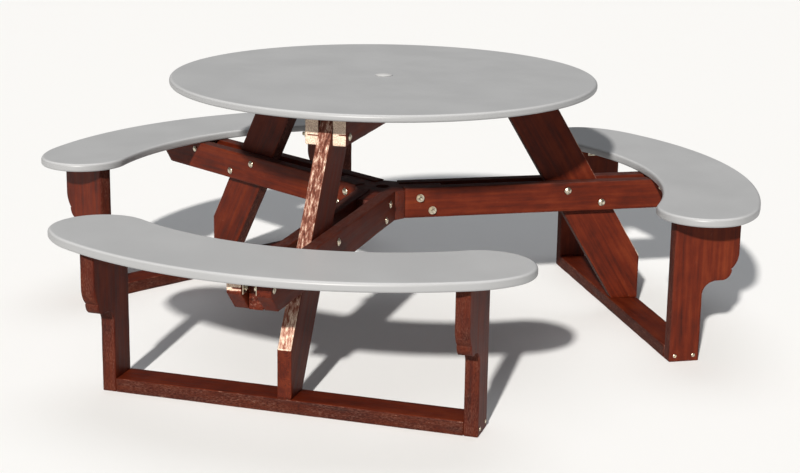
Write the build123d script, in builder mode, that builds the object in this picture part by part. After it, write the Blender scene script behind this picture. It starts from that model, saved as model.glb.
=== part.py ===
"""Round picnic table on three timber legs, with three curved benches.

Frame: millimetres, +Z up. The origin is on the ground, on the axis of the round top.
The three bays (leg, arm, bench) stand at 120 degrees. In each bay, u runs outward from
the axis, v runs sideways, to the right of someone who stands outside and faces the table.
"""
from build123d import *
import os
from math import acos, asin, atan, cos, degrees, radians, sin, sqrt

# ---------------------------------------------------------------- driving dimensions
BAYS = {"front": -90, "right": 30, "left": 150}
SIDES = {"left": -1, "right": 1}

TIMBER = 38             # thickness of every board
SMALL_BOARD = 89        # width of arms, skids, top battens and spacers
LEG_BOARD = 140         # width of the slanted legs
WIDE_BOARD = 194        # width of the board that an upright is cut from
EASE = 2.5              # rounding of the long edges of a board

TOP_HEIGHT = 744        # ground to the table's upper face
TOP_RADIUS = 613
TOP_THICKNESS = 20
SEAT_THICKNESS = 24
SEAT_INNER_RADIUS = 812
SEAT_OUTER_RADIUS = 1086
SEAT_OUTER_HALF_ANGLE = 28.9   # where the outer arc turns into the rounded end
SEAT_END_LARGE_RADIUS = 272    # the end's arc beside the outer edge
SEAT_END_SMALL_RADIUS = 131    # the end's arc beside the inner edge
EDGE_UPPER = 9          # rounding of the top's and the seats' upper edge
EDGE_LOWER = 7

POLE_HOLE_RADIUS = 20   # umbrella pole, through the top and the hub
POLE_HOLE_BEVEL = 1     # at the hole's mouth in the top
PLUG_CLEARANCE = 0.3
PLUG_CAP_RADIUS = 25
PLUG_CAP_HEIGHT = 5
PLUG_RIM = 1.5          # upright edge of the cap, under its dome
PLUG_STEM_LENGTH = 26
PLUG_WALL = 3
PLUG_LEAD_IN = (1, 3)   # taper at the stem's foot: inward, upward

LEG_LEAN = atan(0.596)  # angle of the legs from upright
LEG_GROUND_RADIUS = 905  # where the leg's outer edge would meet the ground
ARM_BOTTOM = 330
ARM_END = 1035          # outer end of the arm planks
ARM_END_CUT = 51        # corner cut from the underside of that end
SKID_INNER = 714        # inner side of the skid and of the uprights
BENCH_HALF = 508        # middle of the bench to an upright's outer face
BATTEN_END = 500
BATTEN_START = 62
SPACER_FACE = 989       # outer end of the block between the arm planks
HUB_DROP = 4            # the hub block stops this far below the arms' upper edge
HUB_TONGUE = 178        # reach of the hub block between the planks

# the bench end's outline, from the narrow post up to the wide head
UPRIGHT_COVE = 42       # hollow arc at the top of the post
COVE_DROP = 187         # from the seat's underside down to the cove's end
LOBE_FLAT = 15          # short level run between the cove and the small lobe
SMALL_LOBE = 29         # radius
LOBE_NOTCH = (3.5, 2)   # inward, downward from the big lobe's lower end
LOBE_GAP = 4            # upward, from the small lobe to the big one
BIG_LOBE = 62.8         # radius
BIG_LOBE_RISE = 45

# bolt and screw places, as (u, z) in a bay
LEG_BOLTS = ((553, 393), (660, 354))
HUB_BOLTS = ((101, 389), (138, 351))
BATTEN_BOLTS = ((470, 657), (385, 697))
SEAT_BOLTS = ((849, 394), (1016, 394))
SKID_SCREWS = ((731, 18), (786, 18))
SPACER_SCREWS = ((920, 350), (965, 395))
FOOT_SCREWS_U = (744, 782)
TABLE_SCREWS_U = (145, 440)
BOLT_HEAD_SIDE = {"front": 1, "right": -1, "left": 1}
HUB_HEAD_SIDE = {"front": 1, "right": 1, "left": 1}

# fasteners
BOLT_RADIUS = 5
BOLT_HEAD_RADIUS = 11
BOLT_HEAD_HEIGHT = 5.5
HEAD_RIM = 0.8          # upright edge of a round head, under its dome
WASHER_RADIUS = 12
WASHER_THICKNESS = 2
NUT_FLATS = 17
NUT_HEIGHT = 8
BOLT_TAIL = 7           # thread showing past the nut
HOLE_CLEARANCE = 0.3
SMALL_BOLT_RADIUS = 4
SMALL_HEAD_RADIUS = 9.5
SMALL_HEAD_HEIGHT = 4.5
SMALL_NUT_FLATS = 13
SMALL_NUT_HEIGHT = 6.5
SMALL_BOLT_TAIL = 1.5
BOLT_END_BEVEL = 1
HEAD_RECESS_GAP = 1     # around a sunk screw head
SCREW_RADIUS = 2.75
SCREW_HEAD_RADIUS = 5.5
SCREW_HEAD_HEIGHT = 2.6
BRACKET_WIDTH = 24
BRACKET_LEG = 40
BRACKET_FOOT = 16
BRACKET_STEEL = 3
BRACKET_HOLE_Z = 394    # the bolt through a bracket's upright leg
BRACKET_SCREW = 10      # its screw into the seat, out from the wood
NUT_CORNER_CUT = 1.2
SKID_SCREW_LENGTH = 88
SKID_HOLE_DEPTH = 56    # of that screw's hole in the skid's end
SPACER_SCREW_LENGTH = 58
SPACER_HOLE_DEPTH = 23  # of that screw's hole in the block
FOOT_SCREW_LENGTH = 90
FOOT_HOLE_DEPTH = 70    # of that screw's hole in the leg
TABLE_SCREW_LENGTH = 58
SEAT_SCREW_LENGTH = 17
UPRIGHT_SCREW_LENGTH = 28
BLIND_HOLE = 0.7        # depth of the screw holes in the top and the seats, in thicknesses

# ---------------------------------------------------------------- derived dimensions
TOP_UNDERSIDE = TOP_HEIGHT - TOP_THICKNESS
ARM_TOP = ARM_BOTTOM + SMALL_BOARD
SEAT_UNDERSIDE = ARM_TOP
HALF = TIMBER / 2
PAIR_HALF = 1.5 * TIMBER
GRIP = 3 * TIMBER
SKID_OUTER = SKID_INNER + SMALL_BOARD
UPRIGHT_OUTER = SKID_INNER + WIDE_BOARD
BATTEN_BOTTOM = TOP_UNDERSIDE - SMALL_BOARD
UPRIGHT_MIDDLE = SKID_INNER + WIDE_BOARD / 2
FOOT_RECESS = SCREW_HEAD_HEIGHT + 3
LEG_SLOPE = sin(LEG_LEAN) / cos(LEG_LEAN)
LEG_RUN = LEG_BOARD / cos(LEG_LEAN)
# the hub block's faces between the arms are one board wide
HUB_SHOULDER = (HALF + PAIR_HALF / 2) / sin(radians(60))


# ---------------------------------------------------------------- places in a bay
def outward(bay):
    """Unit vector from the axis along a bay."""
    angle = radians(BAYS[bay])
    return Vector(cos(angle), sin(angle), 0)


def sideways(bay):
    """Unit vector across a bay, towards its right side."""
    angle = radians(BAYS[bay])
    return Vector(-sin(angle), cos(angle), 0)


def place(bay, u, v, z):
    """Point of the model at (u, v, z) of a bay."""
    return outward(bay) * u + sideways(bay) * v + Vector(0, 0, z)


def elevation(bay, v):
    """Upright plane along a bay: local x outward, local y up. Extrusion runs towards -v."""
    return Plane(origin=place(bay, 0, v, 0), x_dir=outward(bay), z_dir=-sideways(bay))


def plan(bay, z):
    """Level plane with local x outward and local y sideways."""
    return Plane(origin=(0, 0, z), x_dir=outward(bay), z_dir=(0, 0, 1))


def across(bay, u, v, z, side):
    """Level place for a fastener whose head looks towards side * v."""
    return Location(Plane(origin=place(bay, u, v, z), z_dir=sideways(bay) * side))


def upward(bay, u, v, z):
    """Upright place, turned with the bay."""
    return Location(Plane(origin=place(bay, u, v, z), x_dir=outward(bay), z_dir=(0, 0, 1)))


def upside_down(bay, u, v, z):
    """Upright place for a fastener driven from below, its head looking down."""
    return Location(Plane(origin=place(bay, u, v, z), x_dir=outward(bay), z_dir=(0, 0, -1)))


def polar(radius, angle, centre=(0, 0)):
    """Point at a radius and an angle in degrees from a centre."""
    return (centre[0] + radius * cos(radians(angle)), centre[1] + radius * sin(radians(angle)))


def sphere_radius(radius, rise):
    """Radius of the sphere whose cap has this radius and rises this much."""
    return (radius * radius + rise * rise) / (2 * rise)


def save(piece, name):
    """Label a finished piece and write its file."""
    piece.part.label = name
    export_step(piece.part, f"parts/{name}.step")


def cross_holes(bay, points, radius, v_high, depth):
    """Cut round holes through a board, sideways across a bay."""
    with BuildSketch(elevation(bay, v_high)) as holes:
        with Locations(*points):
            Circle(radius)
    extrude(holes.sketch, amount=depth, mode=Mode.SUBTRACT)


# ---------------------------------------------------------------- plastic pieces
def build_tabletop():
    with BuildPart() as tabletop:
        with BuildSketch(Plane.XY.offset(TOP_UNDERSIDE)):
            Circle(TOP_RADIUS)
        extrude(amount=TOP_THICKNESS)
        rims = tabletop.edges().filter_by(GeomType.CIRCLE).sort_by(Axis.Z)
        fillet(rims[-1], EDGE_UPPER)
        fillet(tabletop.edges().filter_by(GeomType.CIRCLE).sort_by(Axis.Z)[0], EDGE_LOWER)
        with BuildSketch(Plane.XY.offset(TOP_UNDERSIDE)):
            Circle(POLE_HOLE_RADIUS)
        extrude(amount=TOP_THICKNESS, mode=Mode.SUBTRACT)
        hole_mouth = tabletop.edges().filter_by(GeomType.CIRCLE)
        hole_mouth = hole_mouth.filter_by(lambda edge: edge.radius < POLE_HOLE_RADIUS + 1)
        chamfer(hole_mouth.sort_by(Axis.Z)[-1], POLE_HOLE_BEVEL)
        with BuildSketch(Plane.XY.offset(TOP_UNDERSIDE)):
            for bay in BAYS:
                for side in SIDES.values():
                    for u in TABLE_SCREWS_U:
                        spot = place(bay, u, side * TIMBER, 0)
                        with Locations((spot.X, spot.Y)):
                            Circle(SCREW_RADIUS + HOLE_CLEARANCE)
        extrude(amount=TOP_THICKNESS * BLIND_HOLE, mode=Mode.SUBTRACT)
    save(tabletop, "tabletop")


def build_umbrella_plug():
    """Domed cap with a hollow stem that drops into the pole hole."""
    stem = POLE_HOLE_RADIUS - PLUG_CLEARANCE
    foot = TOP_HEIGHT - PLUG_STEM_LENGTH
    taper_in, taper_up = PLUG_LEAD_IN
    with BuildPart() as umbrella_plug:
        with BuildSketch(Plane.XZ):
            with BuildLine():
                section = Polyline(
                    (0, TOP_HEIGHT + PLUG_CAP_HEIGHT),
                    (0, TOP_HEIGHT - PLUG_WALL),
                    (stem - PLUG_WALL, TOP_HEIGHT - PLUG_WALL),
                    (stem - PLUG_WALL, foot),
                    (stem - taper_in, foot),
                    (stem, foot + taper_up),
                    (stem, TOP_HEIGHT),
                    (PLUG_CAP_RADIUS, TOP_HEIGHT),
                    (PLUG_CAP_RADIUS, TOP_HEIGHT + PLUG_RIM),
                )
                dome_radius = sphere_radius(PLUG_CAP_RADIUS, PLUG_CAP_HEIGHT - PLUG_RIM)
                RadiusArc(section @ 1, section @ 0, -dome_radius)
            make_face()
        revolve(axis=Axis.Z)
    save(umbrella_plug, "umbrella_plug")


def seat_outline():
    """Curved bench seat: two arcs about the table's axis, joined by a two-arc rounded end."""
    large = SEAT_END_LARGE_RADIUS
    small = SEAT_END_SMALL_RADIUS
    a_radius = SEAT_OUTER_RADIUS - large
    b_radius = SEAT_INNER_RADIUS + small
    step = (a_radius**2 + b_radius**2 - (large - small) ** 2) / (2 * a_radius * b_radius)
    a_angle = SEAT_OUTER_HALF_ANGLE
    b_angle = a_angle + degrees(acos(step))
    a_centre = polar(a_radius, a_angle)
    b_centre = polar(b_radius, b_angle)
    rise = b_centre[1] - a_centre[1]
    meet_angle = degrees(asin(rise / (large - small)))
    meet = polar(large, meet_angle, a_centre)
    turn_in = (meet_angle + 180 + b_angle) / 2
    with BuildLine() as half:
        outer = ThreePointArc(
            (SEAT_OUTER_RADIUS, 0),
            polar(SEAT_OUTER_RADIUS, a_angle / 2),
            polar(SEAT_OUTER_RADIUS, a_angle),
        )
        shoulder = ThreePointArc(
            outer @ 1, polar(large, (a_angle + meet_angle) / 2, a_centre), meet
        )
        tip = ThreePointArc(
            shoulder @ 1,
            polar(small, turn_in, b_centre),
            polar(SEAT_INNER_RADIUS, b_angle),
        )
        ThreePointArc(
            tip @ 1, polar(SEAT_INNER_RADIUS, b_angle / 2), (SEAT_INNER_RADIUS, 0)
        )
        mirror(about=Plane.XZ)
    return half.line


def build_seat(bay):
    outline = seat_outline()
    with BuildPart() as seat:
        with BuildSketch(plan(bay, SEAT_UNDERSIDE)):
            with BuildLine():
                add(outline)
            make_face()
        extrude(amount=SEAT_THICKNESS)
        fillet(seat.faces().sort_by(Axis.Z)[-1].edges(), EDGE_UPPER)
        fillet(seat.faces().sort_by(Axis.Z)[0].edges(), EDGE_LOWER)
        with BuildSketch(plan(bay, SEAT_UNDERSIDE)):
            with Locations(*bracket_screw_spots()):
                Circle(SCREW_RADIUS + HOLE_CLEARANCE)
        extrude(amount=SEAT_THICKNESS * BLIND_HOLE, mode=Mode.SUBTRACT)
    save(seat, f"seat_{bay}")


# ---------------------------------------------------------------- timber
def build_leg(bay):
    """Slanted leg: stands on the skid, cut upright in line with the skid's outer side."""
    foot_rise = (LEG_GROUND_RADIUS - SKID_OUTER) / LEG_SLOPE
    with BuildPart() as leg:
        with BuildSketch(elevation(bay, HALF)):
            with BuildLine():
                Polyline(
                    (LEG_GROUND_RADIUS - LEG_SLOPE * TIMBER - LEG_RUN, TIMBER),
                    (SKID_OUTER, TIMBER),
                    (SKID_OUTER, foot_rise),
                    (LEG_GROUND_RADIUS - LEG_SLOPE * TOP_UNDERSIDE, TOP_UNDERSIDE),
                    (LEG_GROUND_RADIUS - LEG_SLOPE * TOP_UNDERSIDE - LEG_RUN, TOP_UNDERSIDE),
                    close=True,
                )
            make_face()
        extrude(amount=TIMBER)
        slant = outward(bay) * -sin(LEG_LEAN) + Vector(0, 0, cos(LEG_LEAN))
        fillet(leg.edges().filter_by(Axis((0, 0, 0), slant)), EASE)
        hole = BOLT_RADIUS + HOLE_CLEARANCE
        cross_holes(bay, LEG_BOLTS + BATTEN_BOLTS, hole, HALF, TIMBER)
        with Locations(*[upward(bay, u, 0, TIMBER) for u in FOOT_SCREWS_U]):
            Cylinder(
                SCREW_RADIUS + HOLE_CLEARANCE,
                FOOT_HOLE_DEPTH,
                align=(Align.CENTER, Align.CENTER, Align.MIN),
                mode=Mode.SUBTRACT,
            )
    save(leg, f"leg_{bay}")


def build_arm_plank(bay, side_name):
    """One of the two planks that clasp the leg and carry the seat."""
    side = SIDES[side_name]
    v_high = max(side * HALF, side * PAIR_HALF)
    with BuildPart() as plank:
        with BuildSketch(elevation(bay, v_high)):
            with BuildLine():
                Polyline(
                    (HUB_SHOULDER, ARM_BOTTOM),
                    (ARM_END - ARM_END_CUT, ARM_BOTTOM),
                    (ARM_END, ARM_BOTTOM + ARM_END_CUT),
                    (ARM_END, ARM_TOP),
                    (HUB_SHOULDER, ARM_TOP),
                    close=True,
                )
            make_face()
        extrude(amount=TIMBER)
        fillet(plank.edges().filter_by(Axis((0, 0, 0), outward(bay))), EASE)
        cross_holes(bay, LEG_BOLTS + HUB_BOLTS, BOLT_RADIUS + HOLE_CLEARANCE, v_high, TIMBER)
        cross_holes(bay, SEAT_BOLTS, SMALL_BOLT_RADIUS + HOLE_CLEARANCE, v_high, TIMBER)
        if side < 0:
            cross_holes(bay, SPACER_SCREWS, SCREW_RADIUS + HOLE_CLEARANCE, v_high, TIMBER)
    save(plank, f"arm_{bay}_{side_name}")


def build_arm_spacer(bay):
    """Block between the two planks, near their outer end."""
    with BuildPart() as spacer:
        with BuildSketch(elevation(bay, HALF)):
            with Locations((SPACER_FACE, ARM_BOTTOM)):
                Rectangle(SMALL_BOARD, SMALL_BOARD, align=(Align.MAX, Align.MIN))
        extrude(amount=TIMBER)
        hole = SCREW_RADIUS + HOLE_CLEARANCE
        cross_holes(bay, SPACER_SCREWS, hole, SPACER_HOLE_DEPTH - HALF, SPACER_HOLE_DEPTH)
    save(spacer, f"arm_spacer_{bay}")


def build_hub_block():
    """Three-tongued block: the tongues lie between the planks, the planks butt its shoulders."""
    corners = []
    for angle in BAYS.values():
        for u, v in (
            (HUB_SHOULDER, -PAIR_HALF),
            (HUB_SHOULDER, -HALF),
            (HUB_TONGUE, -HALF),
            (HUB_TONGUE, HALF),
            (HUB_SHOULDER, HALF),
            (HUB_SHOULDER, PAIR_HALF),
        ):
            reach = sqrt(u * u + v * v)
            corners.append(polar(reach, angle + degrees(asin(v / reach))))
    with BuildPart() as hub_block:
        with BuildSketch(Plane.XY.offset(ARM_BOTTOM)):
            with BuildLine():
                Polyline(*corners, close=True)
            make_face()
            Circle(POLE_HOLE_RADIUS, mode=Mode.SUBTRACT)
        extrude(amount=SMALL_BOARD - HUB_DROP)
        for bay in BAYS:
            cross_holes(bay, HUB_BOLTS, BOLT_RADIUS + HOLE_CLEARANCE, HALF, TIMBER)
    save(hub_block, "hub_block")


def build_top_batten(bay, side_name):
    """Board on edge beside the leg's upper end, under the table's top."""
    side = SIDES[side_name]
    v_high = max(side * HALF, side * PAIR_HALF)
    with BuildPart() as batten:
        with BuildSketch(elevation(bay, v_high)):
            with Locations((BATTEN_START, BATTEN_BOTTOM)):
                Rectangle(
                    BATTEN_END - BATTEN_START, SMALL_BOARD, align=(Align.MIN, Align.MIN)
                )
        extrude(amount=TIMBER)
        fillet(batten.edges().filter_by(Axis((0, 0, 0), outward(bay))), EASE)
        cross_holes(bay, BATTEN_BOLTS, BOLT_RADIUS + HOLE_CLEARANCE, v_high, TIMBER)
        spots = [upward(bay, u, side * TIMBER, BATTEN_BOTTOM) for u in TABLE_SCREWS_U]
        with Locations(*spots):
            Cylinder(
                SCREW_HEAD_RADIUS + HEAD_RECESS_GAP,
                SMALL_BOARD / 2,
                align=(Align.CENTER, Align.CENTER, Align.MIN),
                mode=Mode.SUBTRACT,
            )
            Cylinder(
                SCREW_RADIUS + HOLE_CLEARANCE,
                SMALL_BOARD,
                align=(Align.CENTER, Align.CENTER, Align.MIN),
                mode=Mode.SUBTRACT,
            )
    save(batten, f"top_batten_{bay}_{side_name}")


def build_skid(bay):
    """Board that lies on the ground under the bench and joins its two uprights."""
    length = 2 * (BENCH_HALF - TIMBER)
    with BuildPart() as skid:
        with BuildSketch(plan(bay, 0)):
            with Locations((SKID_INNER + SMALL_BOARD / 2, 0)):
                Rectangle(SMALL_BOARD, length)
        extrude(amount=TIMBER)
        fillet(skid.edges().filter_by(Axis((0, 0, 0), sideways(bay))), EASE)
        with Locations(*[upward(bay, u, 0, 0) for u in FOOT_SCREWS_U]):
            Cylinder(
                SCREW_HEAD_RADIUS + HEAD_RECESS_GAP,
                FOOT_RECESS,
                align=(Align.CENTER, Align.CENTER, Align.MIN),
                mode=Mode.SUBTRACT,
            )
            Cylinder(
                SCREW_RADIUS + HOLE_CLEARANCE,
                TIMBER,
                align=(Align.CENTER, Align.CENTER, Align.MIN),
                mode=Mode.SUBTRACT,
            )
        for side in SIDES.values():
            v_high = length / 2 if side > 0 else SKID_HOLE_DEPTH - length / 2
            hole = SCREW_RADIUS + HOLE_CLEARANCE
            cross_holes(bay, SKID_SCREWS, hole, v_high, SKID_HOLE_DEPTH)
    save(skid, f"skid_{bay}")


def build_upright(bay, side_name):
    """Bench end cut from one wide board: a narrow post that swells into a shaped bracket."""
    side = SIDES[side_name]
    v_high = BENCH_HALF if side > 0 else -(BENCH_HALF - TIMBER)
    cove_end = SEAT_UNDERSIDE - COVE_DROP
    lobe_start = SKID_OUTER + UPRIGHT_COVE + LOBE_FLAT
    nose = lobe_start + SMALL_LOBE
    lobe_top = cove_end + SMALL_LOBE
    tooth = lobe_top + LOBE_GAP
    notch_in, notch_down = LOBE_NOTCH
    with BuildPart() as upright:
        with BuildSketch(elevation(bay, v_high)):
            with BuildLine():
                post = Polyline(
                    (SKID_OUTER, cove_end - UPRIGHT_COVE), (SKID_OUTER, 0), (SKID_INNER, 0)
                )
                top = Polyline(
                    post @ 1,
                    (SKID_INNER, SEAT_UNDERSIDE),
                    (UPRIGHT_OUTER, SEAT_UNDERSIDE),
                    (UPRIGHT_OUTER, tooth + BIG_LOBE_RISE),
                )
                big_lobe = RadiusArc(top @ 1, (nose, tooth), BIG_LOBE)
                notch = Polyline(
                    big_lobe @ 1, (nose - notch_in, tooth - notch_down), (nose, lobe_top)
                )
                lobe = RadiusArc(notch @ 1, (lobe_start, cove_end), SMALL_LOBE)
                flat = Line(lobe @ 1, (SKID_OUTER + UPRIGHT_COVE, cove_end))
                RadiusArc(flat @ 1, post @ 0, -UPRIGHT_COVE)
            make_face()
        extrude(amount=TIMBER)
        hole = SCREW_RADIUS + HOLE_CLEARANCE
        cross_holes(bay, SKID_SCREWS, hole, v_high, TIMBER)
        depth = UPRIGHT_SCREW_LENGTH
        screw_v = BENCH_HALF - TIMBER + depth if side > 0 else -(BENCH_HALF - TIMBER)
        cross_holes(bay, [(UPRIGHT_MIDDLE, BRACKET_HOLE_Z)], hole, screw_v, depth)
    save(upright, f"upright_{bay}_{side_name}")


# ---------------------------------------------------------------- fasteners
def domed_bolt(radius, head_radius, head_height, length):
    """Round-headed bolt: the head stands above z = 0, the shank runs down from it."""
    with BuildPart() as bolt:
        with BuildSketch(Plane.XZ):
            with BuildLine():
                shank = Polyline(
                    (0, head_height),
                    (0, -length),
                    (radius - BOLT_END_BEVEL, -length),
                    (radius, BOLT_END_BEVEL - length),
                    (radius, 0),
                    (head_radius, 0),
                    (head_radius, HEAD_RIM),
                )
                dome_radius = sphere_radius(head_radius, head_height - HEAD_RIM)
                RadiusArc(shank @ 1, shank @ 0, -dome_radius)
            make_face()
        revolve(axis=Axis.Z)
    return bolt.part


def hexagon_nut(flats, radius, height):
    """Nut that stands on z = 0, with its corners turned off at both ends."""
    corner = flats / sqrt(3)
    with BuildPart() as nut:
        with BuildSketch():
            RegularPolygon(flats / 2, 6, major_radius=False)
            Circle(radius + HOLE_CLEARANCE, mode=Mode.SUBTRACT)
        extrude(amount=height)
        with BuildSketch(Plane.XZ):
            with BuildLine():
                Polyline(
                    (0, 0),
                    (flats / 2, 0),
                    (corner, NUT_CORNER_CUT),
                    (corner, height - NUT_CORNER_CUT),
                    (flats / 2, height),
                    (0, height),
                    close=True,
                )
            make_face()
        revolve(axis=Axis.Z, mode=Mode.INTERSECT)
    return nut.part


def plain_washer():
    with BuildPart() as washer:
        with BuildSketch():
            Circle(WASHER_RADIUS)
            Circle(BOLT_RADIUS + HOLE_CLEARANCE, mode=Mode.SUBTRACT)
        extrude(amount=WASHER_THICKNESS)
    return washer.part


def angle_bracket():
    """Steel angle. Its corner is at the origin: one leg hangs down on the wood behind it,
    the other lies under the seat and runs towards +y."""
    with BuildPart() as bracket:
        with BuildSketch(Plane.YZ.offset(-BRACKET_WIDTH / 2)):
            with BuildLine():
                Polyline(
                    (0, 0),
                    (BRACKET_FOOT, 0),
                    (BRACKET_FOOT, -BRACKET_STEEL),
                    (BRACKET_STEEL, -BRACKET_STEEL),
                    (BRACKET_STEEL, -BRACKET_LEG),
                    (0, -BRACKET_LEG),
                    close=True,
                )
            make_face()
        extrude(amount=BRACKET_WIDTH)
        with BuildSketch(Plane.XZ):
            with Locations((0, BRACKET_HOLE_Z - SEAT_UNDERSIDE)):
                Circle(SMALL_BOLT_RADIUS + HOLE_CLEARANCE)
        extrude(amount=-BRACKET_STEEL, mode=Mode.SUBTRACT)
        with BuildSketch(Plane.XY):
            with Locations((0, BRACKET_SCREW)):
                Circle(SCREW_RADIUS + HOLE_CLEARANCE)
        extrude(amount=-BRACKET_STEEL, mode=Mode.SUBTRACT)
    return bracket.part


def build_group(solid, places, name):
    """Write one node that holds a copy of a small piece at each place."""
    with BuildPart() as group:
        with Locations(*places):
            add(solid)
    save(group, name)


def bracket_stations():
    """(u, side, v of the wood's face) of every seat bracket in a bay."""
    stations = []
    for side in SIDES.values():
        for u, _ in SEAT_BOLTS:
            stations.append((u, side, side * HALF))
        stations.append((UPRIGHT_MIDDLE, side, side * (BENCH_HALF - TIMBER)))
    return stations


def bracket_screw_spots():
    """(u, v) of the screws that hold the seat down."""
    return [(u, v - side * BRACKET_SCREW) for u, side, v in bracket_stations()]


def build_through_bolts():
    """Three sets of equal bolts with their washers and nuts."""
    bolt = domed_bolt(
        BOLT_RADIUS,
        BOLT_HEAD_RADIUS,
        BOLT_HEAD_HEIGHT,
        GRIP + WASHER_THICKNESS + NUT_HEIGHT + BOLT_TAIL,
    )
    sets = {
        "leg_bolts": (LEG_BOLTS, BOLT_HEAD_SIDE),
        "hub_bolts": (HUB_BOLTS, HUB_HEAD_SIDE),
        "batten_bolts": (BATTEN_BOLTS, BOLT_HEAD_SIDE),
    }
    washers = []
    nuts = []
    for name, (points, head_side) in sets.items():
        heads = []
        for bay in BAYS:
            side = head_side[bay]
            for u, z in points:
                heads.append(across(bay, u, side * PAIR_HALF, z, side))
                washers.append(across(bay, u, -side * PAIR_HALF, z, -side))
                nut_face = -side * (PAIR_HALF + WASHER_THICKNESS)
                nuts.append(across(bay, u, nut_face, z, -side))
        build_group(bolt, heads, name)
    build_group(plain_washer(), washers, "bolt_washers")
    build_group(hexagon_nut(NUT_FLATS, BOLT_RADIUS, NUT_HEIGHT), nuts, "bolt_nuts")


def build_seat_fixings():
    """Steel angles under the seats, with their bolts and screws."""
    heads = []
    nuts = []
    brackets = []
    seat_screws = []
    wood_screws = []
    for bay in BAYS:
        for u, side, v in bracket_stations():
            corner = Plane(
                origin=place(bay, u, v, SEAT_UNDERSIDE),
                x_dir=outward(bay) * -side,
                z_dir=(0, 0, 1),
            )
            brackets.append(Location(corner))
            inner = v - side * BRACKET_STEEL
            if u == UPRIGHT_MIDDLE:
                wood_screws.append(across(bay, u, inner, BRACKET_HOLE_Z, -side))
            else:
                heads.append(across(bay, u, side * PAIR_HALF, BRACKET_HOLE_Z, side))
                nuts.append(across(bay, u, inner, BRACKET_HOLE_Z, -side))
            screw_v = v - side * BRACKET_SCREW
            head_z = SEAT_UNDERSIDE - BRACKET_STEEL
            seat_screws.append(upside_down(bay, u, screw_v, head_z))
    bolt_length = TIMBER + BRACKET_STEEL + SMALL_NUT_HEIGHT + SMALL_BOLT_TAIL
    bolt = domed_bolt(SMALL_BOLT_RADIUS, SMALL_HEAD_RADIUS, SMALL_HEAD_HEIGHT, bolt_length)
    build_group(bolt, heads, "seat_bolts")
    nut = hexagon_nut(SMALL_NUT_FLATS, SMALL_BOLT_RADIUS, SMALL_NUT_HEIGHT)
    build_group(nut, nuts, "seat_bolt_nuts")
    build_group(angle_bracket(), brackets, "seat_brackets")
    build_group(wood_screw(SEAT_SCREW_LENGTH), seat_screws, "seat_screws")
    build_group(wood_screw(UPRIGHT_SCREW_LENGTH), wood_screws, "upright_screws")


def wood_screw(length):
    return domed_bolt(SCREW_RADIUS, SCREW_HEAD_RADIUS, SCREW_HEAD_HEIGHT, length)


def build_wood_screws():
    """Screws of the skids, of the arm spacers and of the table's top."""
    skid = []
    spacer = []
    foot = []
    table = []
    for bay in BAYS:
        for side in SIDES.values():
            for u, z in SKID_SCREWS:
                skid.append(across(bay, u, side * BENCH_HALF, z, side))
            for u in TABLE_SCREWS_U:
                head_z = BATTEN_BOTTOM + SMALL_BOARD / 2
                table.append(upside_down(bay, u, side * TIMBER, head_z))
        for u, z in SPACER_SCREWS:
            spacer.append(across(bay, u, -PAIR_HALF, z, -1))
        for u in FOOT_SCREWS_U:
            foot.append(upside_down(bay, u, 0, FOOT_RECESS))
    build_group(wood_screw(SKID_SCREW_LENGTH), skid, "skid_screws")
    build_group(wood_screw(SPACER_SCREW_LENGTH), spacer, "spacer_screws")
    build_group(wood_screw(FOOT_SCREW_LENGTH), foot, "foot_screws")
    build_group(wood_screw(TABLE_SCREW_LENGTH), table, "table_screws")


# ---------------------------------------------------------------- the whole table
os.makedirs("parts", exist_ok=True)
build_tabletop()
build_umbrella_plug()
build_hub_block()
for bay_name in BAYS:
    build_seat(bay_name)
    build_leg(bay_name)
    build_arm_spacer(bay_name)
    build_skid(bay_name)
    for name_of_side in SIDES:
        build_arm_plank(bay_name, name_of_side)
        build_top_batten(bay_name, name_of_side)
        build_upright(bay_name, name_of_side)
build_through_bolts()
build_seat_fixings()
build_wood_screws()
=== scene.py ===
"""Looks of the round picnic table: camera, light, stained timber, moulded boards and steel.

Everything is in metres. The three bays (leg, arm, bench) stand at 120 degrees. In a bay, u runs
outward from the table's axis, v sideways, to the right of someone outside who faces the table,
and z up. A board's own mesh has x along its grain, y across its width and z through its
thickness.
"""
import math
import random
import bmesh
import bpy
from mathutils import Matrix, Vector, noise


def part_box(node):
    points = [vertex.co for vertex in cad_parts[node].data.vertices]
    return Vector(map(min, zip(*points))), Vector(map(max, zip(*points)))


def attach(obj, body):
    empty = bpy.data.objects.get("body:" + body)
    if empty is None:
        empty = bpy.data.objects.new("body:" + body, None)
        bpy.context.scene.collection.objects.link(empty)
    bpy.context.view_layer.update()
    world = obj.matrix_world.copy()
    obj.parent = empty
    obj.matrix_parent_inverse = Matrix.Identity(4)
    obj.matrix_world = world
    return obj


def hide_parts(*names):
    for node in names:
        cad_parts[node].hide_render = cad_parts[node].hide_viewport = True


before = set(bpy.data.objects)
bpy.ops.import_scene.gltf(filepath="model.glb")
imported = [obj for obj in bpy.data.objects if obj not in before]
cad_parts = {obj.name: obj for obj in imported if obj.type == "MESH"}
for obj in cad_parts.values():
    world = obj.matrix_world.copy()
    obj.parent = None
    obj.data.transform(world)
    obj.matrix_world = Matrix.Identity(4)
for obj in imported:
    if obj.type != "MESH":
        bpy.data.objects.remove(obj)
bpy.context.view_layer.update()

BAYS = {"front": -90, "right": 30, "left": 150}
SIDES = {"left": -1, "right": 1}
BAY_SIDES = [(bay, name, side) for bay in BAYS for name, side in SIDES.items()]
UP = Vector((0, 0, 1))

# ---------------------------------------- camera
LENS = 74.839              # millimetres, as the sensor's width
SENSOR = 36
SHIFT = (-0.0128, -0.04274)
CAMERA_AZIMUTH = -72.4296
CAMERA_DISTANCE = 4.7419
CAMERA_HEIGHT = 1.5386
CAMERA_PITCH, CAMERA_YAW, CAMERA_ROLL = -13.8684, -0.9931, 0.9644


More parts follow.
